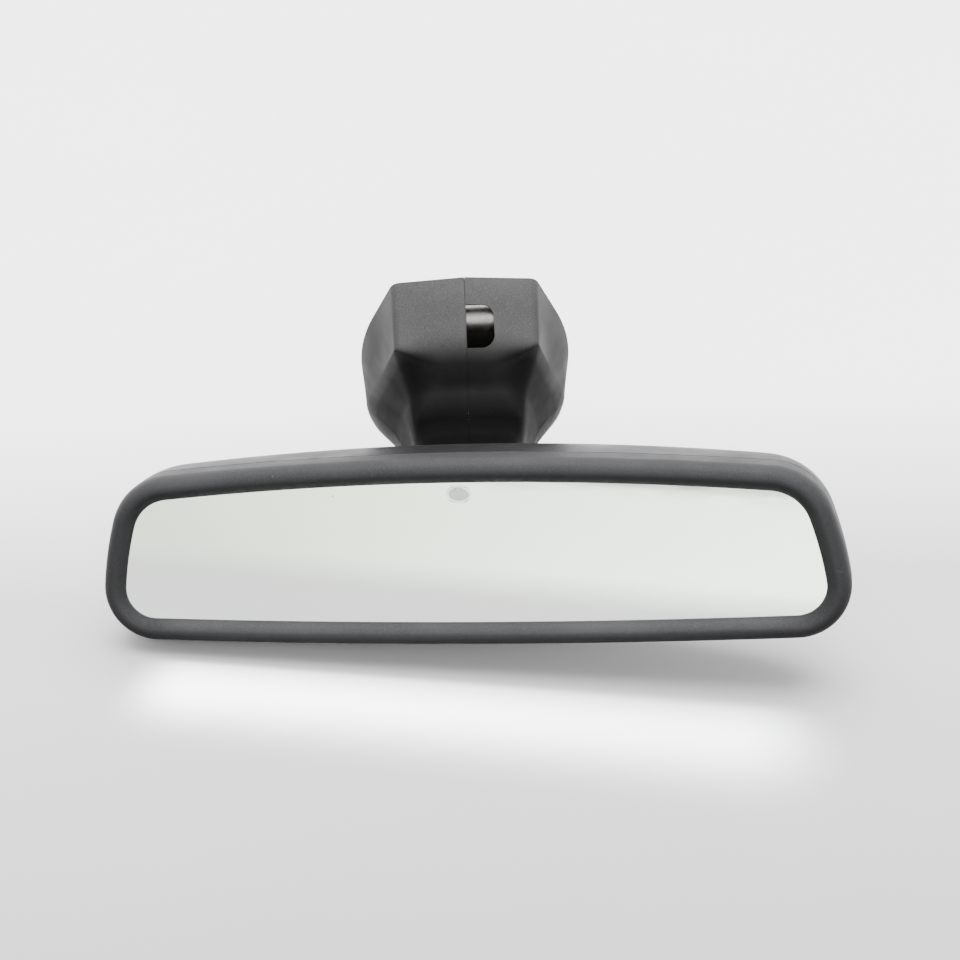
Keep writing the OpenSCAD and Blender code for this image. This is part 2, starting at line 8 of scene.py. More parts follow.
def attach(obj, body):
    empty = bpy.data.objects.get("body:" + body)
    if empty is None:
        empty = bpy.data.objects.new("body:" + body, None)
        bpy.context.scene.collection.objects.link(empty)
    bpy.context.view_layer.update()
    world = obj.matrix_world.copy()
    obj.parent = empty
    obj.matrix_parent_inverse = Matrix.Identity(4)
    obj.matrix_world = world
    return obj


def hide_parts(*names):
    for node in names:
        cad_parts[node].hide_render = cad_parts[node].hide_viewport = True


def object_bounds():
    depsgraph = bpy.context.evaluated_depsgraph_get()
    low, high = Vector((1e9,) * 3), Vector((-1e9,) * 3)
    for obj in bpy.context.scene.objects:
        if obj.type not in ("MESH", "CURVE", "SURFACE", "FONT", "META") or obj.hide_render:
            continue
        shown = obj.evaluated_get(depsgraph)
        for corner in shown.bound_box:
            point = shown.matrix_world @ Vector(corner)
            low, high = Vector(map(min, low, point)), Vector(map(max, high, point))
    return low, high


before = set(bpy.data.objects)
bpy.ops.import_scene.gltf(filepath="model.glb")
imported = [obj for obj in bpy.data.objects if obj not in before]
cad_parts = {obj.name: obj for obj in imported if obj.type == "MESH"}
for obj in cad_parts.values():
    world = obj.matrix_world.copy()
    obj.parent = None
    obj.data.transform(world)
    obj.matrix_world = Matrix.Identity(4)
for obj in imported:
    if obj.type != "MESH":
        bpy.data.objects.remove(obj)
cad_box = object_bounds()
MM = 0.001


# ---------- frames of the part, in millimetres ----------
def turn(axis, angle):
    return np.array(Matrix.Rotation(math.radians(angle), 3, axis))


SCREEN_LEAN = 26.0
BALL_FOOT = np.array([0.0, -13.0, -85.3])
STUD_TILT = -27.0
FOOT = turn("X", SCREEN_LEAN - 90)
BALL = FOOT @ BALL_FOOT
HEAD_YAW, HEAD_PITCH, HEAD_ROLL = -12, -14, -4.5
HEAD = turn("Z", HEAD_YAW) @ turn("X", HEAD_PITCH) @ turn("Y", HEAD_ROLL)
BALL_HEAD = np.array([0.0, 24.0, 3.0])


def foot_place(points):
    return np.asarray(points, float) @ FOOT.T * MM


def head_place(points):
    return ((np.asarray(points, float) - BALL_HEAD) @ HEAD.T + BALL) * MM


# ---------- camera ----------
CAMERA_TURN, CAMERA_RISE, CAMERA_ROLL = -1.0, 30.0, 1.75
CAMERA_REACH, FOCAL_LENGTH, SENSOR_W = 650.0, 73.75, 36.0
GLASS_MIDDLE = np.array([-4.8, -106.0, -22.4])
AIM_RIGHT, AIM_UP = 5.6, 23.8


def set_camera():
    """Looks past the middle of the glass from in front and above, with a small roll."""
    az, el, roll = (math.radians(a) for a in (CAMERA_TURN, CAMERA_RISE, CAMERA_ROLL))
    away = np.array([math.sin(az) * math.cos(el), -math.cos(az) * math.cos(el), math.sin(el)])
    right = np.array([math.cos(az), math.sin(az), 0.0])
    up = np.cross(away, right)
    x = right * math.cos(roll) - up * math.sin(roll)
    y = right * math.sin(roll) + up * math.cos(roll)
    place = GLASS_MIDDLE + CAMERA_REACH * away
    back = place - (GLASS_MIDDLE + AIM_RIGHT * x + AIM_UP * y)
    back /= np.linalg.norm(back)
    side = np.cross(y, back)
    side /= np.linalg.norm(side)
    top = np.cross(back, side)
    data = bpy.data.cameras.new("camera")
    data.lens, data.sensor_width = FOCAL_LENGTH, SENSOR_W
    data.clip_start, data.clip_end = 0.01, 50.0
    camera = bpy.data.objects.new("camera", data)
    rows = [[side[i], top[i], back[i], place[i] * MM] for i in range(3)]
    camera.matrix_world = Matrix(rows + [[0, 0, 0, 1]])
    bpy.context.scene.collection.objects.link(camera)
    bpy.context.scene.camera = camera


set_camera()


# ---------- materials ----------
SCUFFED, EDGE_WEAR_AND_HIGHLIGHT, DUST = (0.05, 0.05, 0.052), (0.06, 0.06, 0.062), (0.2, 0.19, 0.175)
OXIDE, RUST, SPECK = (0.2, 0.19, 0.17), (0.2, 0.13, 0.08), (0.16, 0.17, 0.15)
GRAIN_LIFT = 1.8


class Nodes:
    """Small helper that builds a material's node tree."""

    def __init__(self, name, **values):
        self.material = bpy.data.materials.new(name)
        self.material.use_nodes = True
        self.tree = self.material.node_tree
        self.tree.nodes.clear()
        self.out = self.add("ShaderNodeOutputMaterial")
        self.shader = self.add("ShaderNodeBsdfPrincipled")
        self.link(self.shader.outputs[0], self.out.inputs[0])
        for key, value in values.items():
            self.shader.inputs[key.replace("_", " ")].default_value = value
        self.place = self.add("ShaderNodeTexCoord").outputs["Object"]

    def add(self, kind):
        return self.tree.nodes.new(kind)

    def link(self, a, b):
        self.tree.links.new(a, b)

    def stretched(self, scale, rotation=(0, 0, 0)):
        mapping = self.add("ShaderNodeMapping")
        mapping.inputs["Scale"].default_value = scale
        mapping.inputs["Rotation"].default_value = [math.radians(a) for a in rotation]
        self.link(self.place, mapping.inputs["Vector"])
        return mapping.outputs[0]

    def noise(self, scale, detail=3.0, rough=0.55, vector=None, distortion=0.0):
        node = self.add("ShaderNodeTexNoise")
        node.inputs["Scale"].default_value = scale
        node.inputs["Detail"].default_value = detail
        node.inputs["Roughness"].default_value = rough
        node.inputs["Distortion"].default_value = distortion
        self.link(vector or self.place, node.inputs["Vector"])
        return node.outputs["Fac"]

    def cells(self, scale, feature="F1", vector=None):
        node = self.add("ShaderNodeTexVoronoi")
        node.feature = feature
        node.inputs["Scale"].default_value = scale
        self.link(vector or self.place, node.inputs["Vector"])
        return node.outputs["Distance"]

    def ramp(self, value, low, high, a=0.0, b=1.0):
        node = self.add("ShaderNodeMapRange")
        node.clamp = True
        for key, number in (("From Min", low), ("From Max", high), ("To Min", a), ("To Max", b)):
            node.inputs[key].default_value = number
        self.link(value, node.inputs["Value"])
        return node.outputs[0]

    def calc(self, kind, a, b):
        node = self.add("ShaderNodeMath")
        node.operation = kind
        for i, value in enumerate((a, b)):
            if isinstance(value, (int, float)):
                node.inputs[i].default_value = value
            else:
                self.link(value, node.inputs[i])
        return node.outputs[0]

    def mix(self, factor, a, b):
        node = self.add("ShaderNodeMix")
        node.data_type = "RGBA"
        self.link(factor, node.inputs["Factor"])
        for key, value in (("A", a), ("B", b)):
            socket = [s for s in node.inputs if s.name == key and s.type == "RGBA"][0]
            if isinstance(value, tuple):
                socket.default_value = (*value, 1.0)
            else:
                self.link(value, socket)
        return [s for s in node.outputs if s.type == "RGBA"][0]

    def convex_edges(self):
        return self.ramp(self.add("ShaderNodeNewGeometry").outputs["Pointiness"], 0.505, 0.6)

    def bump(self, height, strength, distance, below=None):
        node = self.add("ShaderNodeBump")
        node.inputs["Strength"].default_value = strength
        node.inputs["Distance"].default_value = distance
        self.link(height, node.inputs["Height"])
        if below:
            self.link(below, node.inputs["Normal"])
        return node.outputs[0]

    def colour(self, socket):
        self.link(socket, self.shader.inputs["Base Color"])

    def roughness(self, socket):
        self.link(socket, self.shader.inputs["Roughness"])

    def normal(self, socket):
        self.link(socket, self.shader.inputs["Normal"])


def moulded(name, base, rough, grain, dust, wear_and_highlight, gloss):
    """Fine-grained moulded plastic with faint scuffs and specks of dust, its edges paler partly from wear and
    partly as painted highlight, painted lighter where it looks up and darker where it looks down.

    A mesh attribute marks the parts that get the deepest painted shade: the darkest colour and a lower
    specular level.
    """
    n = Nodes(name)
    tint = n.noise(28, 4)
    fine = n.noise(2600, 2)
    pebble = n.cells(1500, "SMOOTH_F1")
    light = tuple(min(1.0, c * GRAIN_LIFT) for c in base)
    colour = n.mix(n.ramp(tint, 0.35, 0.7), base, tuple((a + b) / 2 for a, b in zip(base, light)))
    colour = n.mix(n.ramp(fine, 0.45, 0.75), colour, light)
    scuff_field = n.noise(9, 3, vector=n.stretched((14, 60, 60), (10, 25, 35)))
    scuffs = n.calc("MULTIPLY", n.ramp(scuff_field, 0.66, 0.72, 0, wear_and_highlight), n.ramp(n.noise(40), 0.5, 0.65))
    colour = n.mix(scuffs, colour, SCUFFED)
    # Paler convex edges, partly from wear and partly painted highlight.
    edge = n.calc("MULTIPLY", n.convex_edges(), n.ramp(n.noise(300, 4), 0.45, 0.6, 0, wear_and_highlight))
    colour = n.mix(edge, colour, EDGE_WEAR_AND_HIGHLIGHT)
    dots = n.ramp(n.cells(420), 0.05, 0.09, 1, 0)
    specks = n.calc("MULTIPLY", dots, n.ramp(n.noise(35, 2), 0.55, 0.7, 0, dust))
    colour = n.mix(specks, colour, DUST)
    # Painted light: faces that look up keep the full colour and faces that look down are painted darker; the
    # specular level follows the painted light.
    facing = n.add("ShaderNodeSeparateXYZ")
    n.link(n.add("ShaderNodeTexCoord").outputs["Normal"], facing.inputs[0])
    # Painted shade: the parts marked in the mesh attribute get the darkest colour and a lower specular level.
    painted_shade_mask = n.add("ShaderNodeAttribute")
    painted_shade_mask.attribute_name = "paint_shade"
    unshaded_share = n.calc("SUBTRACT", 1.0, painted_shade_mask.outputs["Fac"])
    painted_top_light = n.calc("MULTIPLY", n.ramp(facing.outputs[2], -0.2, 0.6), unshaded_share)
    painted_dark_colour = n.mix(unshaded_share, tuple(c * 0.15 for c in base), tuple(c * 0.4 for c in base))
    n.colour(n.mix(painted_top_light, painted_dark_colour, colour))
    r = n.ramp(n.noise(90, 5), 0.3, 0.75, rough - 0.05, rough + 0.07)
    n.roughness(n.calc("ADD", r, n.calc("MULTIPLY", specks, 0.3)))
    n.normal(n.bump(pebble, grain, 0.00003, n.bump(fine, grain, 0.00002)))
    spec_from_painted_light = n.ramp(painted_top_light, 0.0, 0.8, 0.6, 1.0)
    shine = n.calc("MULTIPLY", spec_from_painted_light, n.ramp(unshaded_share, 0.0, 1.0, gloss * 0.3, gloss))
    n.link(shine, n.shader.inputs["Specular IOR Level"])
    return n.material


def cast_metal(name, base, rough):
    """Bare die casting: mottled, slightly oxidised, with a sandy skin."""
    n = Nodes(name, Metallic=0.9)
    mottle = n.noise(160, 6, 0.65)
    colour = n.mix(n.ramp(mottle, 0.3, 0.7), tuple(c * 0.6 for c in base), base)
    stains = n.ramp(n.noise(35, 5), 0.55, 0.75, 0, 0.6)
    n.colour(n.mix(stains, colour, OXIDE))
    n.roughness(n.ramp(mottle, 0.3, 0.7, rough + 0.12, rough - 0.06))
    n.normal(n.bump(n.noise(1400, 4), 0.5, 0.00005))
    return n.material


def drawn_steel(name, base, rough, brush=(40, 1600, 1600), spots=0.25):
    """Plated or bare steel with brush lines, faint spots and brighter edges."""
    n = Nodes(name, Metallic=1.0)
    lines = n.noise(1, 3, vector=n.stretched(brush))
    colour = n.mix(n.ramp(lines, 0.3, 0.7), tuple(c * 0.78 for c in base), base)
    rust = n.ramp(n.noise(260, 5), 0.58, 0.75, 0, spots)
    colour = n.mix(rust, colour, RUST)
    n.colour(n.mix(n.convex_edges(), colour, tuple(min(1, c * 1.25) for c in base)))
    streaks = n.ramp(lines, 0.3, 0.7, rough - 0.05, rough + 0.08)
    n.roughness(n.calc("ADD", streaks, n.calc("MULTIPLY", rust, 0.6)))
    n.normal(n.bump(lines, 0.25, 0.00003))
    return n.material


def mirror_face(name, base, dust):
    """Slightly green mirror with a faint haze, wiping marks and a few specks of dust."""
    n = Nodes(name, Metallic=1.0)
    haze = n.noise(14, 5, 0.6, distortion=0.6)
    colour = n.mix(n.ramp(haze, 0.35, 0.75), base, tuple(c * 0.965 for c in base))
    split = n.add("ShaderNodeSeparateXYZ")
    n.link(n.place, split.inputs[0])
    side = n.ramp(split.outputs[0], -0.02, -0.09, 0.25, 1.0)
    near = n.calc("MULTIPLY", n.ramp(n.noise(22, 2), 0.52, 0.6), side)
    specks = n.calc("MULTIPLY", n.ramp(n.cells(150), 0.035, 0.06, dust, 0), near)
    small = n.ramp(n.cells(520), 0.06, 0.1, dust * 0.5, 0)
    fine = n.calc("MULTIPLY", small, n.ramp(n.noise(60, 2), 0.58, 0.66))
    marks = n.calc("MAXIMUM", specks, fine)
    n.colour(n.mix(marks, colour, SPECK))
    smear = n.ramp(n.noise(7, 4, vector=n.stretched((6, 30, 30), (0, 30, 0))), 0.5, 0.8, 0.03, 0.09)
    n.roughness(n.calc("ADD", smear, n.calc("MULTIPLY", marks, 0.5)))
    n.normal(n.bump(n.noise(900, 2), 0.03, 0.00001))
    return n.material


def clear_part(name, base, rough, alpha=0.55):
    """Clear or smoked moulding with a faint haze and fine scratches."""
    n = Nodes(name, Alpha=alpha)
    haze = n.noise(120, 4)
    n.colour(n.mix(n.ramp(haze, 0.35, 0.7), base, tuple(c * 0.85 for c in base)))
    scratches = n.noise(30, 2, vector=n.stretched((8, 220, 60), (20, 0, 40)))
    n.roughness(n.ramp(scratches, 0.4, 0.75, rough, rough + 0.15))
    n.normal(n.bump(scratches, 0.1, 0.00002))
    return n.material


def flecked(name, base, fleck, rough, scale=900, depth=0.5):
    """Foam, rubber or nylon: soft mottling with a fine open texture."""
    n = Nodes(name)
    pores = n.cells(scale)
    mottle = n.noise(60, 5)
    colour = n.mix(n.ramp(mottle, 0.3, 0.75), base, tuple(c * 0.8 for c in base))
    n.colour(n.mix(n.ramp(pores, 0.1, 0.35, 0.8, 0), colour, fleck))
    n.roughness(n.ramp(mottle, 0.3, 0.7, rough - 0.06, rough + 0.08))
    n.normal(n.bump(pores, depth, 0.00008, n.bump(n.noise(2400, 2), 0.3, 0.00002)))
    return n.material


def solder_mask(name):
    """Green board with copper tracks that stand a little proud under the mask."""
    n = Nodes(name, Coat_Weight=0.5, Coat_Roughness=0.2)
    place = n.stretched((260, 260, 260))
    tracks = n.add("ShaderNodeTexBrick")
    tracks.inputs["Scale"].default_value = 1.0
    tracks.inputs["Mortar Size"].default_value = 0.09
    n.link(place, tracks.inputs["Vector"])
    weave = n.noise(1800, 2)
    colour = n.mix(n.ramp(weave, 0.3, 0.7), (0.012, 0.085, 0.035), (0.02, 0.13, 0.055))
    n.colour(n.mix(tracks.outputs["Fac"], colour, (0.04, 0.22, 0.09)))
    n.roughness(n.ramp(weave, 0.3, 0.7, 0.3, 0.42))
    n.normal(n.bump(tracks.outputs["Fac"], 0.4, 0.00004))
    return n.material


def studio_floor():
    """Pale paper with painted light and shade: darker toward the camera, greyer round the object and much
    brighter behind it. The part far in front, which the glass mirrors, is painted pale green, lighter on the
    right than on the left.
    """
    n = Nodes("studio_floor")
    split = n.add("ShaderNodeSeparateXYZ")
    n.link(n.place, split.inputs[0])
    # Painted light and shade: the grey of the floor changes with distance from the camera, and the far front
    # holds painted light for the glass to mirror.
    behind = n.ramp(split.outputs[1], -0.06, 0.1)
    near = n.ramp(split.outputs[1], -0.26, -0.12)
    front = n.ramp(split.outputs[1], -0.8, -0.5, 1, 0)
    fibre = n.ramp(n.noise(3, 4), 0.35, 0.7)
    colour = n.mix(near, (0.33, 0.328, 0.332), (0.42, 0.418, 0.422))
    colour = n.mix(behind, colour, (0.9, 0.897, 0.903))
    aside = n.ramp(n.calc("DIVIDE", split.outputs[0], split.outputs[1]), 0.12, 0.62)
    colour = n.mix(front, colour, n.mix(aside, (0.8, 0.86, 0.74), (0.4, 0.44, 0.36)))
    n.colour(n.mix(n.calc("MULTIPLY", fibre, 0.06), colour, (0.6, 0.6, 0.61)))
    n.roughness(n.ramp(n.noise(60, 3), 0.3, 0.7, 0.7, 0.8))
    n.normal(n.bump(n.noise(900, 3), 0.05, 0.0001))
    n.shader.inputs["Specular IOR Level"].default_value = 0.2
    return n.material


COVER = moulded("cover_plastic", (0.031, 0.0305, 0.0315), 0.52, grain=0.3, dust=0.5, wear_and_highlight=0.2, gloss=0.11)
HOUSING = moulded("housing_plastic", (0.006, 0.0059, 0.006), 0.42, grain=0.35, dust=0.5, wear_and_highlight=0.2, gloss=0.14)
BEZEL = moulded("bezel_plastic", (0.0185, 0.0185, 0.0195), 0.5, grain=0.45, dust=0.6, wear_and_highlight=0.3, gloss=0.08)
CHIP = moulded("chip_plastic", (0.01, 0.01, 0.011), 0.4, grain=0.4, dust=0.2, wear_and_highlight=0.2, gloss=0.3)
ZINC = cast_metal("cast_zinc", (0.62, 0.61, 0.58), 0.48)
SPRING = drawn_steel("spring_steel", (0.1, 0.095, 0.09), 0.36, (900, 60, 60), 0.45)
PLATED = drawn_steel("plated_steel", (0.72, 0.72, 0.73), 0.28)
NYLON = flecked("nylon", (0.78, 0.75, 0.66), (0.7, 0.66, 0.56), 0.42, 1400, 0.12)
SEAL = flecked("seal_rubber", (0.03, 0.03, 0.03), (0.05, 0.05, 0.05), 0.7)
FOAM = flecked("foam", (0.09, 0.09, 0.095), (0.03, 0.03, 0.03), 0.85, 700, 0.9)
MIRROR = mirror_face("mirror_glass", (0.86, 0.905, 0.855), 1.0)
WINDOW = mirror_face("window_glass", (0.36, 0.375, 0.37), 0.5)
ETCHED = flecked("etched_edge", (0.86, 0.88, 0.86), (0.95, 0.96, 0.95), 0.35, 2200, 0.1)
CLEAR = clear_part("clear_glass", (0.82, 0.88, 0.84), 0.08)
PIPE = clear_part("light_pipe", (0.88, 0.9, 0.9), 0.12)
LENS = clear_part("lens_plastic", (0.05, 0.05, 0.055), 0.12, 0.9)
BOARD = solder_mask("board")
GOLD = drawn_steel("contact_metal", (0.83, 0.66, 0.28), 0.25, (600, 600, 40), 0.05)

CARRIED = {
    "mount_foot": ZINC, "retaining_spring": SPRING, "spring_rivets": PLATED, "ball_stud": PLATED,
    "stud_screw": PLATED, "ball_liner": NYLON, "socket_cup": NYLON, "socket_bracket": PLATED,
    "preload_spring": SPRING, "retainer_ring": SPRING, "bracket_screws": PLATED, "mirror_glass": MIRROR,
    "cell_seal": SEAL, "rear_pane": CLEAR, "bus_clips": GOLD, "foam_pad": FOAM, "carrier_plate": HOUSING,
    "circuit_board": BOARD, "board_chips": CHIP, "board_screws": PLATED, "glare_sensor": PIPE,
    "ambient_sensor": CHIP, "ambient_lens": LENS, "connector_header": CHIP, "connector_pins": GOLD}
for node, material in CARRIED.items():
    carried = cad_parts[node]
    if carried.material_slots:
        for material_slot in carried.material_slots:
            material_slot.material = material
    else:
        carried.data.materials.append(material)


# ---------- mesh tools ----------
WELD = 1e-7


def new_object(name, points, faces):
    """Mesh object with its doubled points welded and its faces turned outward."""
    mesh = bpy.data.meshes.new(name)
    mesh.from_pydata([tuple(p) for p in points], [], [tuple(f) for f in faces])
    mesh.update()
    built = bmesh.new()
    built.from_mesh(mesh)
    bmesh.ops.remove_doubles(built, verts=built.verts, dist=WELD)
    bmesh.ops.recalc_face_normals(built, faces=built.faces)
    built.to_mesh(mesh)
    built.free()
    item = bpy.data.objects.new(name, mesh)
    bpy.context.scene.collection.objects.link(item)
    return item


def settle(item):
    """Applies an object's modifiers to its mesh."""
    bpy.context.view_layer.update()
    seen = item.evaluated_get(bpy.context.evaluated_depsgraph_get())
    mesh = bpy.data.meshes.new_from_object(seen)
    item.modifiers.clear()
    item.data = mesh
    return item


def bevelled(item, width, limit):
    step = item.modifiers.new("bevel", "BEVEL")
    step.width, step.segments, step.limit_method = width * MM, 2, "ANGLE"
    step.angle_limit = math.radians(limit)
    step.use_clamp_overlap = True
    return settle(item)


def combine(item, other, how):
    step = item.modifiers.new("boolean", "BOOLEAN")
    step.operation, step.object, step.solver = how, other, "EXACT"
    return settle(item)


def drop(*items):
    for item in items:
        bpy.data.objects.remove(item, do_unlink=True)


def joined(item, *others):
    """Adds the meshes of the others to the first object."""
    built = bmesh.new()
    for source in (item, *others):
        built.from_mesh(source.data)
    built.to_mesh(item.data)
    built.free()
    drop(*others)
    return item


def finished(item, material, body, slot_name, *nodes, angle):
    """Gives a piece its material and its body, and hides the nodes that it stands for."""
    item.data.materials.clear()
    item.data.materials.append(material)
    for face in item.data.polygons:
        face.use_smooth = True
        face.material_index = 0
    item.data.set_sharp_from_angle(angle=math.radians(angle))
    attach(item, body)
    if nodes:
        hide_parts(*nodes)
    return item


def grid_faces(rows, n, wrap_rows=False):
    """Four-sided faces between rings of n points each, with the last row joined to the first if asked."""
    faces = []
    for i in range(rows if wrap_rows else rows - 1):
        j = (i + 1) % rows
        for k in range(n):
            m = (k + 1) % n
            faces.append((i * n + k, i * n + m, j * n + m, j * n + k))
    return faces


def swept(name, rings, place):
    """Closed band through rings that meet each other again."""
    points = np.concatenate(rings)
    return new_object(name, place(points), grid_faces(len(rings), len(rings[0]), True))


def lofted(name, rings, place):
    """Closed solid through rings, with a fan at each end."""
    n, last = len(rings[0]), len(rings) - 1
    ends = [rings[0].mean(0), rings[last].mean(0)]
    points = np.concatenate([*rings, ends])
    faces = grid_faces(len(rings), n)
    first = (last + 1) * n
    faces += [((k + 1) % n, k, first) for k in range(n)]
    faces += [(last * n + k, last * n + (k + 1) % n, first + 1) for k in range(n)]
    return new_object(name, place(points), faces)


def lathe(name, profile, centre, place, turns=128, closed=True):
    """Solid of revolution about the head's depth axis; the profile is a list of (radius, depth)."""
    a = np.linspace(0, 2 * math.pi, turns, endpoint=False)
    rings = []
    for r, y in profile:
        x, z = centre[0] + r * np.cos(a), centre[2] + r * np.sin(a)
        rings.append(np.c_[x, np.full(turns, centre[1] + y), z])
    if closed:
        return swept(name, rings, place)
    return lofted(name, rings, place)


def block(name, low, high, place, r):
    """Bar along the head's depth with rounded corners, from low to high."""
    path = rounded(low[0], low[2], high[0], high[2], r)
    rings = [np.c_[path[:, 0], np.full(len(path), y), path[:, 1]] for y in (low[1], high[1])]
    return lofted(name, rings, place)


def rounded(x0, z0, x1, z1, r, steps=6):
    """Ring of points round a rectangle with rounded corners."""
    corners = ((x1 - r, z1 - r, 0), (x0 + r, z1 - r, 90), (x0 + r, z0 + r, 180), (x1 - r, z0 + r, 270))
    points = []
    for cx, cz, a0 in corners:
        for a in np.radians(np.linspace(a0, a0 + 90, steps)):
            points.append((cx + r * math.cos(a), cz + r * math.sin(a)))
    return np.array(points)


def smooth_path(points, steps):
    """Catmull-Rom curve through a list of points, ends included."""
    p = np.asarray(points, float)
    p = np.r_[[2 * p[0] - p[1]], p, [2 * p[-1] - p[-2]]]
    out = []
    for i in range(1, len(p) - 2):
        a, b, c, d = p[i - 1:i + 3]
        square, cube = 2 * a - 5 * b + 4 * c - d, 3 * b - a - 3 * c + d
        for t in np.arange(steps) / steps:
            out.append(0.5 * (2 * b + (c - a) * t + square * t * t + cube * t ** 3))
    out.append(p[-2])
    return np.array(out)


# ---------- outline of the head ----------
HALF_W, HALF_H, BEZEL_W = 125.0, 32.0, 8.0
GLASS_HALF_H = 24.0
TOP_R, BOTTOM_R, SIDE_R = 1165.0, 3200.0, 116.0
SIDE_TILT, WIDEST_Z, TOP_CORNER, BOTTOM_CORNER = 11.4, -4.3, 14.0, 10.0
LONG_STEPS, CORNER_STEPS, SIDE_STEPS = 24, 22, 14


def unit(angle):
    return np.array([math.cos(math.radians(angle)), math.sin(math.radians(angle))])


def bearing(a, b):
    return math.degrees(math.atan2(b[1] - a[1], b[0] - a[0]))


def crossing(c1, r1, c2, r2, above):
    """Where two circles cross on the right-hand side, above or below the middle."""
    d = np.linalg.norm(c2 - c1)
    u = (c2 - c1) / d
    a = (r1 * r1 - r2 * r2 + d * d) / (2 * d)
    h = math.sqrt(max(0, r1 * r1 - a * a))
    side = h * np.array([-u[1], u[0]])
    p = c1 + a * u + side
    return p if p[0] > 0 and (p[1] > 0) == above else c1 + a * u - side


TOP_C = np.array([0, GLASS_HALF_H - TOP_R])
BOTTOM_C = np.array([0, BOTTOM_R - GLASS_HALF_H])
SIDE_C = np.array([HALF_W - BEZEL_W, WIDEST_Z]) - SIDE_R * unit(SIDE_TILT)
UPPER_C = crossing(TOP_C, TOP_R - TOP_CORNER, SIDE_C, SIDE_R - TOP_CORNER, True)
LOWER_C = crossing(BOTTOM_C, BOTTOM_R - BOTTOM_CORNER, SIDE_C, SIDE_R - BOTTOM_CORNER, False)


def arc(centre, r, a0, a1, n):
    a = np.radians(a0 + (a1 - a0) * np.arange(n) / n)
    return centre + r * np.c_[np.cos(a), np.sin(a)]


def outline(grow):
    """Edge of the glass, grown outward: arcs along the right half, then their mirror image."""
    lower, lower_side = bearing(BOTTOM_C, LOWER_C), bearing(SIDE_C, LOWER_C)
    upper_side, upper = bearing(SIDE_C, UPPER_C), bearing(TOP_C, UPPER_C)
    half = np.concatenate([
        arc(BOTTOM_C, BOTTOM_R + grow, -90, lower, LONG_STEPS),
        arc(LOWER_C, BOTTOM_CORNER + grow, lower, lower_side, CORNER_STEPS),
        arc(SIDE_C, SIDE_R + grow, lower_side, upper_side, SIDE_STEPS),
        arc(UPPER_C, TOP_CORNER + grow, upper_side, upper, CORNER_STEPS),
        arc(TOP_C, TOP_R + grow, upper, 90, LONG_STEPS),
        [[0, GLASS_HALF_H + grow]]])
    return np.r_[half, half[-2:0:-1] * [-1, 1]]


def ring(grow, y):
    p = outline(grow)
    return np.c_[p[:, 0], np.full(len(p), y), p[:, 1]]


# ---------- bezel ----------
# both lists hold (distance out from the edge of the glass, depth)
BEZEL_FRONT = [[0, -0.4], [0.5, -1.3], [1.7, -2.5], [3.2, -3.2], [4.7, -3.1], [6.1, -2.3], [7.2, -0.9],
               [7.85, 1], [8, 3], [8, 8.55]]
BEZEL_BACK = [[7.93, 8.75], [7.75, 8.88], [6.2, 9], [6.2, 3.5], [5.4, 1.6], [2.35, 1.6], [2.35, 0.02],
              [0.02, 0.02]]


def make_bezel():
    section = np.r_[smooth_path(BEZEL_FRONT, 6), BEZEL_BACK]
    item = swept("bezel", [ring(g, y) for g, y in section], head_place)
    finished(item, BEZEL, "head", "bezel_plastic", "front_bezel", angle=40)


# ---------- rear housing ----------
PARTING, DEPTH, WALL = 9.0, 39.0, 2.2
HOUSING_BOW, END_TAPER = 0.3, 4.0
# rows of the dome: (distance in from its edge, share of its depth)
SECTION = [[0, 0], [0.1, 0.25], [0.4, 0.45], [1.1, 0.6], [2.6, 0.73], [5.2, 0.84], [9.2, 0.92], [15, 0.975],
           [25, 1]]
FLAT_ROWS = [[27.5, 1.0], [29.5, 1.0], [30.6, 1.0]]
EDGE_EASE, EDGE_FRONT, EDGE_BACK = 0.25, 0.06, 0.35
INSET_SPAN = 30
DISH_R, DISH_FLARE, DISH_H, DISH_FLOOR = 13.6, 7.5, 12.0, 7.4
LENS_AT, LENS_R, TUBE_WALL, TUBE_FRONT, TUBE_BACK = (-52.0, 6.0), 5.0, 1.6, 6, 36
PORT_AT, PORT_W, PORT_H, PORT_CORNER = (52.0, 0.0), 28, 13, 0.8
VENTS = [-88, -84, -80, -76, 76, 80, 84, 88]
VENT_W, VENT_H, VENT_CORNER = 1.6, 16, 0.75
LIP_R, LIP_FRONT, LIP_BACK = 6.2, 6, PARTING + 1.5


def dome(name, wall):
    """Outer shape of the housing, or the hollow inside a wall of some thickness."""
    rings = []
    flat = outline(BEZEL_W)
    for inset, share in np.r_[smooth_path(SECTION, 4), FLAT_ROWS]:
        inset = inset * (1 - wall / INSET_SPAN) + wall
        x = flat[:, 0] * (1 - END_TAPER * inset / HALF_W)
        z = flat[:, 1] * (1 - inset / HALF_H)
        y = PARTING + (DEPTH - wall - PARTING) * min(share, 1.0) * (1 - HOUSING_BOW * (x / HALF_W) ** 2)
        rings.append(np.c_[x, y, z])
    if wall == 0:
        x, z = flat[:, 0] * (1 - EDGE_EASE / HALF_W), flat[:, 1] * (1 - EDGE_EASE / HALF_H)
        rings[0] = np.c_[x, np.full(len(x), PARTING + EDGE_FRONT), z]
        rings.insert(1, np.c_[flat[:, 0], np.full(len(x), PARTING + EDGE_BACK), flat[:, 1]])
    else:
        rings[0] = rings[0] - [0, 0.5, 0]
    return lofted(name, rings, head_place)


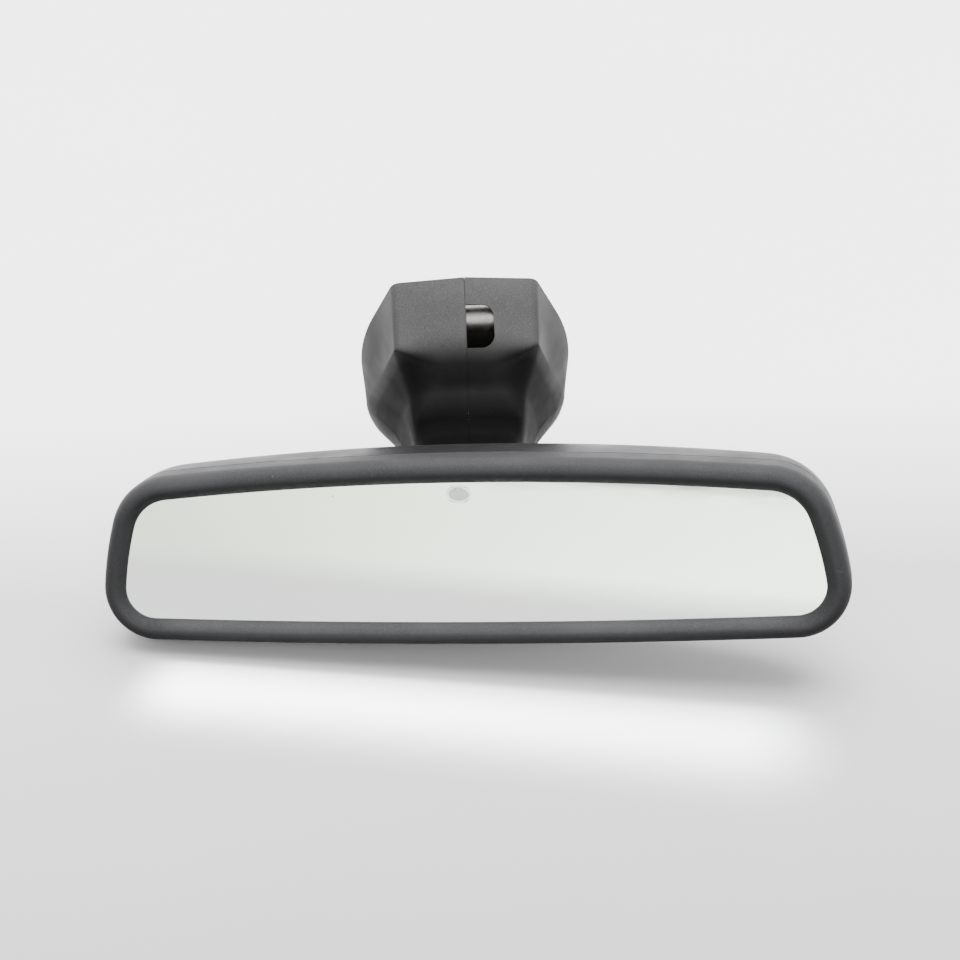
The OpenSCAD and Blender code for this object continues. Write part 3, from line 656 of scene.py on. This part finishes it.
def make_housing():
    shell, whole, inner = dome("housing", 0), dome("whole", 0), dome("inner", WALL)
    ball, lens = tuple(BALL_HEAD), (LENS_AT[0], PARTING, LENS_AT[1])
    brim_r, brim = DISH_R + DISH_FLARE, DISH_FLOOR + DISH_H
    mouth = [(0.01, DISH_FLOOR), (DISH_R, DISH_FLOOR), (brim_r, brim), (brim_r, brim + 6), (0.01, brim + 6)]
    low = (PORT_AT[0] - PORT_W / 2, PARTING, PORT_AT[1] - PORT_H / 2)
    high = (PORT_AT[0] + PORT_W / 2, DEPTH + 5, PORT_AT[1] + PORT_H / 2)
    vents = []
    for x in VENTS:
        ends = (x - VENT_W / 2, 20, -VENT_H / 2), (x + VENT_W / 2, 50, VENT_H / 2)
        vents.append(block("cut_vent", *ends, head_place, VENT_CORNER))
    cutters = [
        inner, lathe("cut_dish", mouth, ball, head_place, closed=False),
        lathe("cut_lens", [(LENS_R, 0), (LENS_R, 40)], lens, head_place, 64, False),
        block("cut_port", low, high, head_place, PORT_CORNER), joined(*vents)]
    for cutter in cutters:
        combine(shell, cutter, "DIFFERENCE")
    wall = lathe("dish", [
        (DISH_R, DISH_FLOOR - 1.8), (DISH_R + 0.6, DISH_FLOOR - 1.8), (brim_r + 2, brim), (brim_r, brim),
        (DISH_R + 0.25, DISH_FLOOR + 0.4), (DISH_R, DISH_FLOOR)], ball, head_place)
    tube_r = LENS_R + TUBE_WALL
    tube_path = [(LENS_R, TUBE_FRONT), (tube_r, TUBE_FRONT), (tube_r, TUBE_BACK), (LENS_R, TUBE_BACK)]
    tube = lathe("tube", tube_path, lens, head_place, 64)
    extras = [combine(extra, whole, "INTERSECT") for extra in (wall, tube)]
    lip = swept("lip", [
        ring(LIP_R - 1.5, LIP_FRONT), ring(LIP_R - 0.3, LIP_FRONT), ring(LIP_R - 0.1, LIP_FRONT + 0.3),
        ring(LIP_R - 0.1, LIP_BACK), ring(LIP_R - 1.5, LIP_BACK)], head_place)
    drop(whole, *cutters)
    joined(shell, *extras, lip)
    finished(shell, HOUSING, "head", "housing_plastic", "rear_housing", angle=30)


# ---------- cover ----------
RIM_TOP, COVER_L, COVER_W, COVER_WALL = -42.5, 105.0, 76.0, 2.0
COVER_EDGE, BEVEL_LIMIT = 0.3, 72
RIM_END, END_R = RIM_TOP + COVER_L, COVER_W / 2
END_LAP = END_R * math.tan(math.radians(22.5))
FACET_W, SEAM_X, SEAM_CROWN = 25.5, 0.12, 2.0
NECK_ROOT, ROOT_W, ROOT_D = 52.0, 19.9, 9.4
NECK_MOUTH, MOUTH_W, MOUTH_D = 34.0, 18.5, 9
RIDGE_BEND, CHIN_BEND, ROOT_BEND = 0.7, 8.7, 9
CHIN_DROP, CHIN_UNDERCUT = np.array([0, 1.8, -3.5]), np.array([0, 1.5, 3.0])
FLANK_UNDERCUT = np.array([-2.5, 0, 3.0])
RIM_REACH = [2.5, 15, 7, END_LAP * 0.98, END_LAP * 0.98]
RIDGE_REACH = [2.5, 9, 7, END_LAP * 0.95, END_LAP * 0.95]
WAIST_REACH, NECK_REACH = [9, 6, 7, 9, 9], [1.5, 1.5, 1, 1.2, 3]
SMOOTH_FROM, SMOOTH_OVER, SMOOTH_SHARE, SMOOTH_PASSES = 12, 5, 0.5, 10
SLOT_W, SLOT_H, SLOT_CORNER, SLOT_DROP, SLOT_TILT = 20, 15.5, 4.6, 9, -60
# rows of the slot's cutter: (growth of its outline, height above the facet)
SLOT_ROWS = ((0.0, -8.0), (0.0, -0.5), (0.12, -0.18), (0.5, 0.06), (0.9, 0.5), (0.9, 6.0))
RIB_FROM, RIB_TO, RIB_HALF_T, RIB_HEIGHTS = 19, 33.6, 1, (-8, -3)
STRIP_LEFT, STRIP_RIGHT, STRIP_OUTER, STRIP_INNER = -0.3, 0.1, 0.5, 0.7


def rim_corners(i):
    """Corners of the right half of the rim that lies on the windscreen, inset by i."""
    return np.array([[FACET_W - i, RIM_TOP + i, 0], [END_R + 1.2 - i, -11, 0], [END_R - i, 20, 0],
                     [END_R - i, RIM_END - END_R + END_LAP, 0], [END_LAP, RIM_END - i, 0]])


def ridge_corners(i):
    """Corners of the ridge, where the facets end and the scoops begin."""
    z = 0.8 * i
    return np.array([
        [FACET_W - i, i - 31.5, z - 21.2], [31.3 - i, -6, z - 12.5], [END_R - 0.7 - i, 20, z - 2],
        [END_R - 0.8 - i, RIM_END - END_R + END_LAP - 0.6, z - 2], [END_LAP, RIM_END - 1 - i, z - 2]])


def stud_point(x, across, k):
    """Point in the foot's frame from its place beside and along the stud."""
    c, s = math.cos(math.radians(STUD_TILT)), math.sin(math.radians(STUD_TILT))
    return [x, BALL_FOOT[1] + across * c - k * s, BALL_FOOT[2] + across * s + k * c]


def neck_corners(w, d, k):
    """Corners of the neck's right half: half width w and half depth d, at k along the stud."""
    return np.array([stud_point(w - 2.5, -d, k), stud_point(w, 3 - d, k), stud_point(w, 0, k),
                     stud_point(w, d - 5, k), stud_point(w - 6, d, k)])


def bend(a, b, c, reach, n):
    """Curve that rounds the corner b of the path from a to c."""
    p = b + reach * (a - b) / np.linalg.norm(a - b)
    q = b + reach * (c - b) / np.linalg.norm(c - b)
    t = (np.arange(n + 1) / n)[:, None]
    return (1 - t) ** 2 * p + 2 * t * (1 - t) * b + t * t * q


def half_ring(corners, reach):
    """Path from seam to seam round the right half of the cover, with its corners rounded."""
    start = np.array([SEAM_X, corners[0][1] - SEAM_CROWN, corners[0][2]])
    end = np.array([SEAM_X, corners[4][1], corners[4][2]])
    path = np.r_[[start], corners, [end]]
    curves = [bend(path[i - 1], path[i], path[i + 1], reach[i - 1], 9) for i in range(1, 6)]
    out = [start + t * (curves[0][0] - start) for t in np.arange(12) / 12]
    for i, curve in enumerate(curves):
        out += list(curve)
        if i < 4:
            out += [curve[-1] + t * (curves[i + 1][0] - curve[-1]) for t in (0.25, 0.5, 0.75)]
        else:
            out += [curve[-1] + t * (end - curve[-1]) for t in (0.33, 0.66)]
    return np.array(out + [end])


def softness(p):
    """1 at the middle of the chin, falling to 0 at its corners and round the sides."""
    return 1 - min(1, p[0] / FACET_W) ** 3 if p[1] < -25 else 0.0


def flank(p):
    """1 on the front of the sides, falling to 0 toward the seam and the far end."""
    return max(0, min(1, (p[0] - 12) / 13)) * max(0, min(1, (45 - p[1]) / 35))


def cover_rows(i):
    """Rings of the right half from the rim to the mouth of the neck, inset by i."""
    rim = half_ring(rim_corners(i), RIM_REACH)
    sharp = half_ring(ridge_corners(i), RIDGE_REACH)
    ridge = np.array([p + CHIN_DROP * softness(p) for p in sharp])
    root_corners = neck_corners(ROOT_W - i, ROOT_D - i, NECK_ROOT)
    waist = half_ring((ridge_corners(i) + root_corners) / 2, WAIST_REACH)
    waist = np.array([
        p + CHIN_UNDERCUT * softness(q) + FLANK_UNDERCUT * flank(q) for p, q in zip(waist, ridge)])
    root = half_ring(root_corners, NECK_REACH)
    mouth = half_ring(neck_corners(MOUTH_W - i, MOUTH_D - i, NECK_MOUTH), NECK_REACH)
    columns = []
    for a, b, c, d, e in zip(rim, ridge, waist, root, mouth):
        first = bend(a, b, c, RIDGE_BEND + CHIN_BEND * softness(b), 10)
        second = bend(c, d, e, ROOT_BEND, 12)
        facet = [a + 0.5 * (first[0] - a)]
        upper = [first[-1] + t * (c - first[-1]) for t in (0.33, 0.66)]
        lower = [c + t * (second[0] - c) for t in (0.33, 0.66)]
        columns.append(np.concatenate([[a], facet, first, upper, [c], lower, second, [e]]))
    columns = np.array(columns)
    below_ridge = np.clip((np.arange(columns.shape[1]) - SMOOTH_FROM) / SMOOTH_OVER, 0, 1)
    share = below_ridge[None, :, None] * SMOOTH_SHARE
    for _ in range(SMOOTH_PASSES):
        between = (columns[:-2] + columns[2:]) / 2
        columns[1:-1] += share * (between - columns[1:-1])
    return [columns[:, row] for row in range(columns.shape[1])]


def half_cover(name, side):
    """Shell of the right half (side 1) or the left half (side -1)."""
    outer, inner = cover_rows(0.0), cover_rows(COVER_WALL)
    rings = [np.r_[a, b[::-1]] for a, b in zip(outer, inner)]
    n, rows = len(outer[0]), len(rings)
    faces = grid_faces(rows, 2 * n)
    for base in (0, 2 * n * (rows - 1)):
        far = base + 2 * n - 1
        faces += [(base + k, base + k + 1, far - 1 - k, far - k) for k in range(n - 1)]
    flip = np.array([side, 1, 1])
    item = new_object(name, foot_place(np.concatenate(rings) * flip), faces)
    return bevelled(item, COVER_EDGE, BEVEL_LIMIT)


def painted_shade_mask(item):
    """Marks the scoops and the neck, which lie below the ridge of the cover, for painted shade."""
    spots = np.array([item.matrix_world @ v.co for v in item.data.vertices]) / MM @ FOOT
    x, y, z = np.abs(spots[:, 0]), spots[:, 1], spots[:, 2]
    ridge = ridge_corners(0)[:3]
    depth = np.interp(y, ridge[:, 1], ridge[:, 2]) - z
    scoop = np.clip((depth - 0.3) / 3, 0, 1) * np.clip((x - 10) / 10, 0, 1)
    share = np.maximum(scoop, np.clip((depth - 8) / 12, 0, 1))
    layer = item.data.attributes.new("paint_shade", "FLOAT", "POINT")
    layer.data.foreach_set("value", share.astype(np.float32))


def rib(side):
    path = rounded(RIB_FROM, -RIB_HALF_T, RIB_TO, RIB_HALF_T, 0.3, 4)
    rings = [np.c_[side * path[:, 0], path[:, 1], np.full(len(path), z)] for z in RIB_HEIGHTS]
    return lofted("rib", rings, foot_place)


def tongue():
    """Thin strip in the seam, fixed to the left half, that closes the gap to the light."""
    outer, inner = cover_rows(STRIP_OUTER), cover_rows(COVER_WALL + STRIP_INNER)
    strips = []
    for end in (0, -1):
        rings = []
        for p, q in zip(outer, inner):
            a, b = p[end][1:], q[end][1:]
            corners = [[STRIP_LEFT, *a], [STRIP_RIGHT, *a], [STRIP_RIGHT, *b], [STRIP_LEFT, *b]]
            rings.append(np.array(corners))
        strips.append(lofted("tongue", rings[:-1], foot_place))
    return strips


def slot_cutter():
    """Cutter for the release slot beside the seam, which gets an eased edge."""
    tilt = turn("X", SLOT_TILT)
    w, h = SLOT_W / 2, SLOT_H / 2
    rings = []
    for grow, z in SLOT_ROWS:
        r = rounded(-w - grow, -h - grow, w + grow, h + grow, SLOT_CORNER + grow, 14)
        rings.append(np.c_[r[:, 0], r[:, 1] + SLOT_DROP + h, np.full(len(r), z)] @ tilt.T + [0, RIM_TOP, 0])
    return lofted("cut_slot", rings, foot_place)


def make_cover():
    left, right = half_cover("cover_half_left", -1), half_cover("cover_half_right", 1)
    cutter = slot_cutter()
    combine(right, cutter, "DIFFERENCE")
    drop(cutter)
    joined(left, rib(-1), *tongue())
    joined(right, rib(1))
    for half, node in ((left, "cover_left"), (right, "cover_right")):
        painted_shade_mask(half)
        finished(half, COVER, "foot", "cover_plastic", node, angle=45)


# ---------- sensor window ----------
WINDOW_AT = (-0.3, 20.0)
# rows of both: (half width, half height, depth behind the face of the glass)
DISC_ROWS = ((3.3, 2.15, 1.55), (3.45, 2.3, 1.5), (3.45, 2.3, 0.06), (3.3, 2.15, 0.0))
EDGE_ROWS = ((3.4, 2.25, 0.02), (3.55, 2.4, -0.05), (4.0, 2.75, -0.05), (4.15, 2.9, 0.0), (3.95, 2.7, 1.5),
             (3.4, 2.25, 1.5))


def oval(a, b, y, n=96):
    t = np.linspace(0, 2 * math.pi, n, endpoint=False)
    return np.c_[WINDOW_AT[0] + a * np.cos(t), np.full(n, y), WINDOW_AT[1] + b * np.sin(t)]


def make_window():
    """Oval window of the glare sensor, with an etched ring about it."""
    disc = lofted("window_disc", [oval(*row) for row in DISC_ROWS], head_place)
    finished(disc, WINDOW, "head", "window_glass", "sensor_window", angle=12)
    edge = swept("window_edge", [oval(*row) for row in EDGE_ROWS], head_place)
    finished(edge, ETCHED, "head", "window_glass", angle=50)


make_bezel()
make_housing()
make_cover()
make_window()


# ---------- stage and light ----------
FLOOR_HALF, FLOOR_GAP = 14.0, 0.0002
GLOW_W, GLOW_H, GLOW_SPREAD, GLOW_AWAY = 0.21, 0.03, 42, np.array([0.01, 0.46, 0.89])
# brightness of the room by height, from the horizon (0) to straight above (1)
FRONT_WALL = ((0.0, 0.3), (0.06, 0.26), (0.16, 0.12), (0.55, 0.2), (0.8, 0.6), (1.0, 0.8))
REAR_WALL = ((0.0, 1.2), (0.2, 1.3), (0.4, 1.3), (0.65, 1.0), (0.8, 0.7), (1.0, 0.8))
ROOM_STRENGTH = 3.0


def make_stage():
    low = min(cad_box[0][2], cad_box[1][2])
    floor_z = low - FLOOR_GAP
    corners = [(x * FLOOR_HALF, y * FLOOR_HALF, floor_z) for x, y in ((-1, -1), (1, -1), (1, 1), (-1, 1))]
    mesh = bpy.data.meshes.new("floor")
    mesh.from_pydata(corners, [], [(0, 1, 2, 3)])
    floor = bpy.data.objects.new("floor", mesh)
    floor.data.materials.append(studio_floor())
    bpy.context.scene.collection.objects.link(floor)


def glass_glow(power):
    """The light that the glass throws down on the floor in front of it."""
    data = bpy.data.lights.new("glass_glow", "AREA")
    data.shape, data.size, data.size_y = "RECTANGLE", GLOW_W, GLOW_H
    data.energy, data.color, data.spread = power, (0.96, 1.0, 0.97), math.radians(GLOW_SPREAD)
    away = GLOW_AWAY / np.linalg.norm(GLOW_AWAY)
    side = HEAD[:, 0] - away * (HEAD[:, 0] @ away)
    side /= np.linalg.norm(side)
    place = head_place([0, -6, 0])
    axes = np.c_[side, np.cross(away, side), away, place]
    lamp = bpy.data.objects.new("glass_glow", data)
    lamp.matrix_world = Matrix([list(row) for row in axes] + [[0, 0, 0, 1]])
    lamp.visible_camera = lamp.visible_glossy = False
    bpy.context.scene.collection.objects.link(lamp)


def daylight(name, direction, strength, angle):
    """Distant lamp that shines from a direction, softened over an angle."""
    data = bpy.data.lights.new(name, "SUN")
    data.energy, data.angle = strength, math.radians(angle)
    lamp = bpy.data.objects.new(name, data)
    lamp.rotation_euler = Vector(direction).to_track_quat("Z", "Y").to_euler()
    bpy.context.scene.collection.objects.link(lamp)


def make_world():
    """Room with a bright wall behind the object, a dim front and a soft ceiling."""
    world = bpy.data.worlds.new("studio")
    world.use_nodes = True
    tree = world.node_tree
    place = tree.nodes.new("ShaderNodeTexCoord")
    split = tree.nodes.new("ShaderNodeSeparateXYZ")
    tree.links.new(place.outputs["Generated"], split.inputs[0])
    sides = []
    for steps in (FRONT_WALL, REAR_WALL):
        ramp = tree.nodes.new("ShaderNodeValToRGB")
        tree.links.new(split.outputs[2], ramp.inputs[0])
        marks = ramp.color_ramp.elements
        while len(marks) < len(steps):
            marks.new(0.5)
        for mark, (at, value) in zip(marks, steps):
            mark.position, mark.color = at, (value, value, value * 1.01, 1)
        sides.append(ramp.outputs[0])
    behind = tree.nodes.new("ShaderNodeMapRange")
    behind.inputs["From Min"].default_value, behind.inputs["From Max"].default_value = 0.1, 0.5
    tree.links.new(split.outputs[1], behind.inputs["Value"])
    blend = tree.nodes.new("ShaderNodeMixRGB")
    for socket, source in zip(blend.inputs, (behind.outputs[0], *sides)):
        tree.links.new(source, socket)
    tree.links.new(blend.outputs[0], tree.nodes["Background"].inputs[0])
    tree.nodes["Background"].inputs[1].default_value = ROOM_STRENGTH
    bpy.context.scene.world = world


make_stage()
make_world()
daylight("key", (0.05, 0.14, 0.98), 8.6, 60)
daylight("fill", (0.0, -0.92, 0.38), 4.0, 45)
glass_glow(0.33)

bpy.context.view_layer.update()
